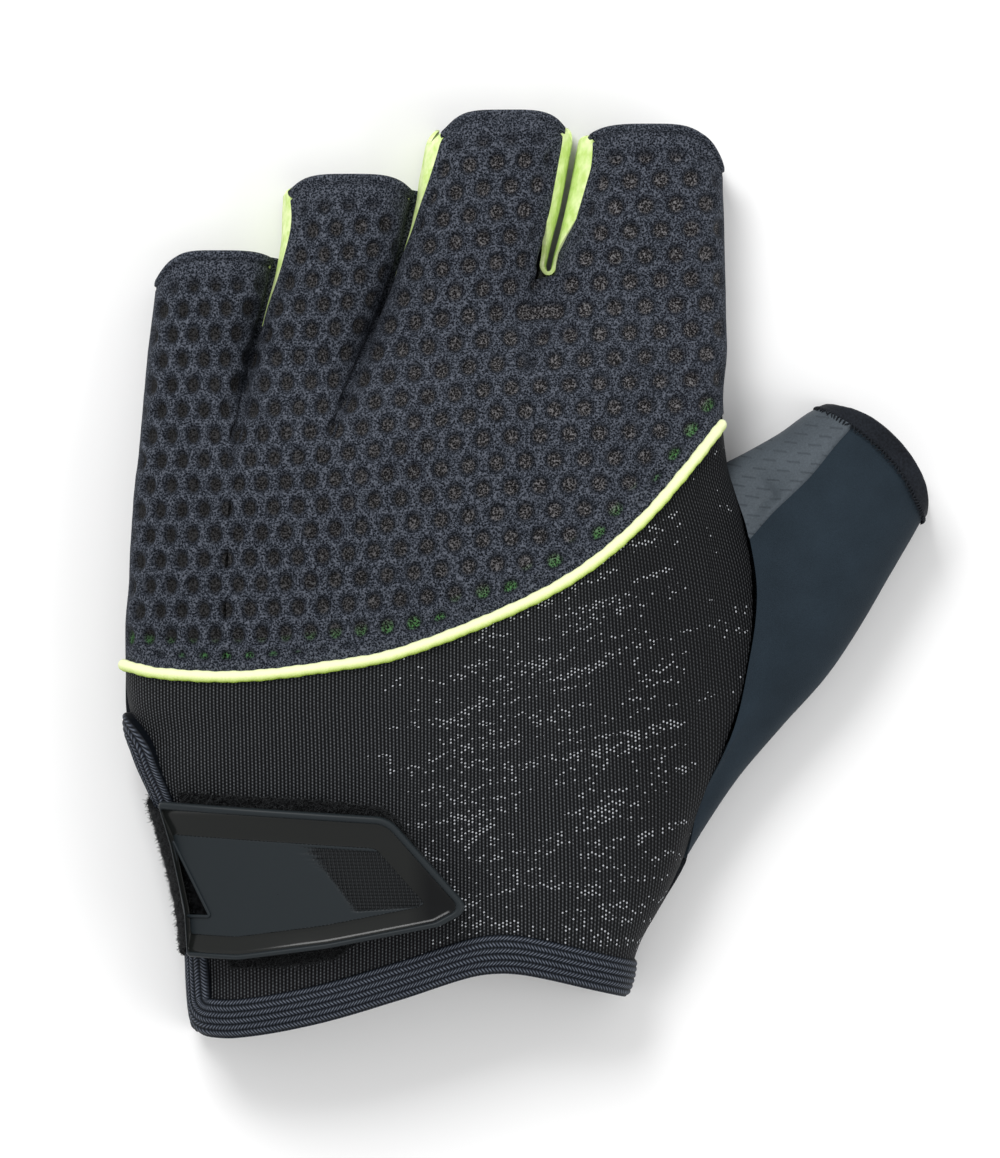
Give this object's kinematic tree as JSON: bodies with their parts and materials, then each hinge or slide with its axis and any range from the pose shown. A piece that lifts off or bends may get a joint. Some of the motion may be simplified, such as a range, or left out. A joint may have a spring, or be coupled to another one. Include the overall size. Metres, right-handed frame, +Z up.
{
  "type": "cycling glove",
  "caption": "Left-hand short-finger cycling glove with a dimpled mesh back, knit wrist, lime gussets and a moulded strap tab.",
  "frame": {"origin": "centre of the glove's outline, on the surface it lies on, palm down", "axes": "+Y towards the fingertips, +X towards the thumb, +Z up from the palm to the back of the hand"},
  "size_m": [0.1462, 0.1658, 0.0329],
  "materials": {
    "mesh": "padded spacer mesh, matte, honeycomb dimples",
    "knit": "fine ribbed knit with a few bright stitches",
    "piping": "smooth bright cord",
    "palm": "plain microfibre suede",
    "gusset": "smooth stretch fabric",
    "suede": "microfibre suede, matte",
    "patch": "coated, fine embossed dashes, satin",
    "thumb_hem": "turned and stitched edge",
    "binding": "ribbed elastic braid",
    "pile": "brushed pile",
    "tab": "moulded, satin with glossy edges"
  },
  "bodies": {
    "root": {"back_mesh_panel": "mesh", "back_knit_panel": "knit", "piping": "piping", "palm_panel": "palm", "fourchette_little_ring": "gusset", "fourchette_ring_middle": "gusset", "fourchette_middle_index": "gusset", "thumb_patch": "patch", "thumb_panel": "suede", "thumb_hem": "thumb_hem", "wrist_binding": "binding", "loop_patch": "pile", "strap_base": "pile", "strap_tab": "tab"}
  },
  "joints": []
}
